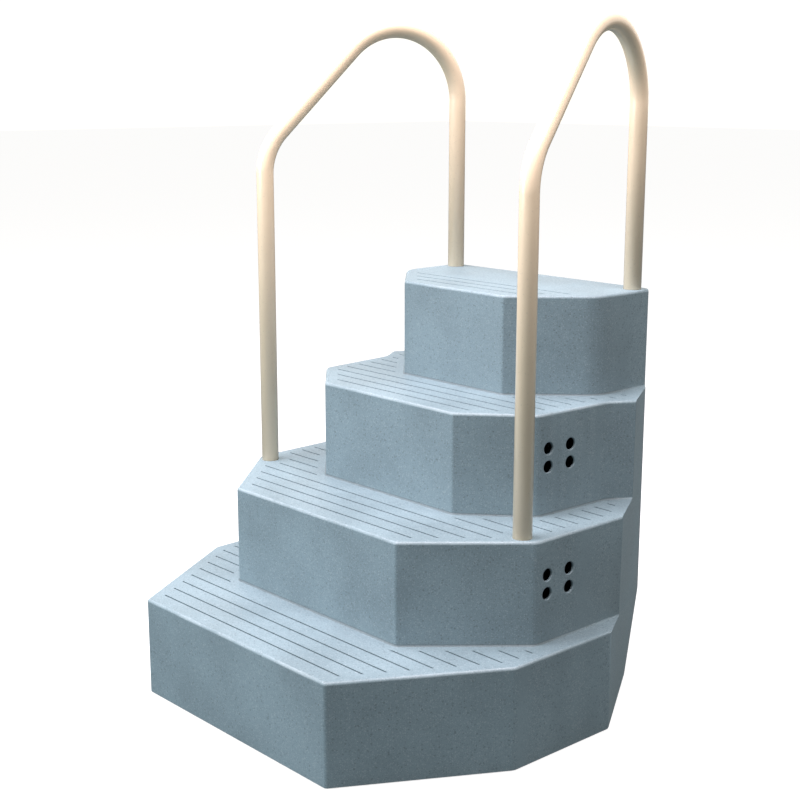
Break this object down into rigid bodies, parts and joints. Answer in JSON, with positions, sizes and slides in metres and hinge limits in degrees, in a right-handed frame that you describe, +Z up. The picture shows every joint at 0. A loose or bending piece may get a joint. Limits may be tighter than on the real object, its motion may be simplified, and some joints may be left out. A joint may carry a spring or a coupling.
{
  "type": "in-pool step ladder",
  "caption": "Free-standing in-pool entry steps: a moulded four-tread shell with a cove cut-out, ballast inside and two lift-out bent tube handrails.",
  "frame": {"origin": "centre of the bounding box at the floor, under the floor pads", "axes": "+X across the steps to the right as a bather climbs, +Y from the first riser to the pool wall, +Z up"},
  "size_m": [1.2276, 1.156, 1.7861],
  "materials": {
    "moulded_shell": "rotomoulded, blue-grey with stone flecks",
    "rail_enamel": "glossy cream powder coat",
    "pan_plastic": "grained sheet",
    "socket_plastic": "satin",
    "plug_plastic": "satin",
    "pad_rubber": "matt",
    "ballast_concrete": "cast",
    "stainless": "satin"
  },
  "bodies": {
    "step_unit": {"ballast_block_front_left": "ballast_concrete", "ballast_block_front_right": "ballast_concrete", "ballast_block_rear_left": "ballast_concrete", "ballast_block_rear_right": "ballast_concrete", "base_pan": "pan_plastic", "floor_pad_front_left": "pad_rubber", "floor_pad_front_middle": "pad_rubber", "floor_pad_front_right": "pad_rubber", "floor_pad_rear_left": "pad_rubber", "floor_pad_rear_middle": "pad_rubber", "floor_pad_rear_right": "pad_rubber", "floor_pad_side_left": "pad_rubber", "floor_pad_side_right": "pad_rubber", "pan_screws": "stainless", "rail_socket_front_left": "socket_plastic", "rail_socket_front_right": "socket_plastic", "rail_socket_rear_left": "socket_plastic", "rail_socket_rear_right": "socket_plastic", "socket_screws": "stainless", "step_shell": "moulded_shell"},
    "left_rail": {"left_handrail": "rail_enamel", "leg_plug_front_left": "plug_plastic", "leg_plug_rear_left": "plug_plastic"},
    "right_rail": {"right_handrail": "rail_enamel", "leg_plug_front_right": "plug_plastic", "leg_plug_rear_right": "plug_plastic"}
  },
  "joints": [
    {"name": "left_rail_lift", "type": "slide", "parent": "step_unit", "child": "left_rail", "axis": [0, 0, 1], "range_m": [0, 0.2]},
    {"name": "right_rail_lift", "type": "slide", "parent": "step_unit", "child": "right_rail", "axis": [0, 0, 1], "range_m": [0, 0.2]}
  ]
}
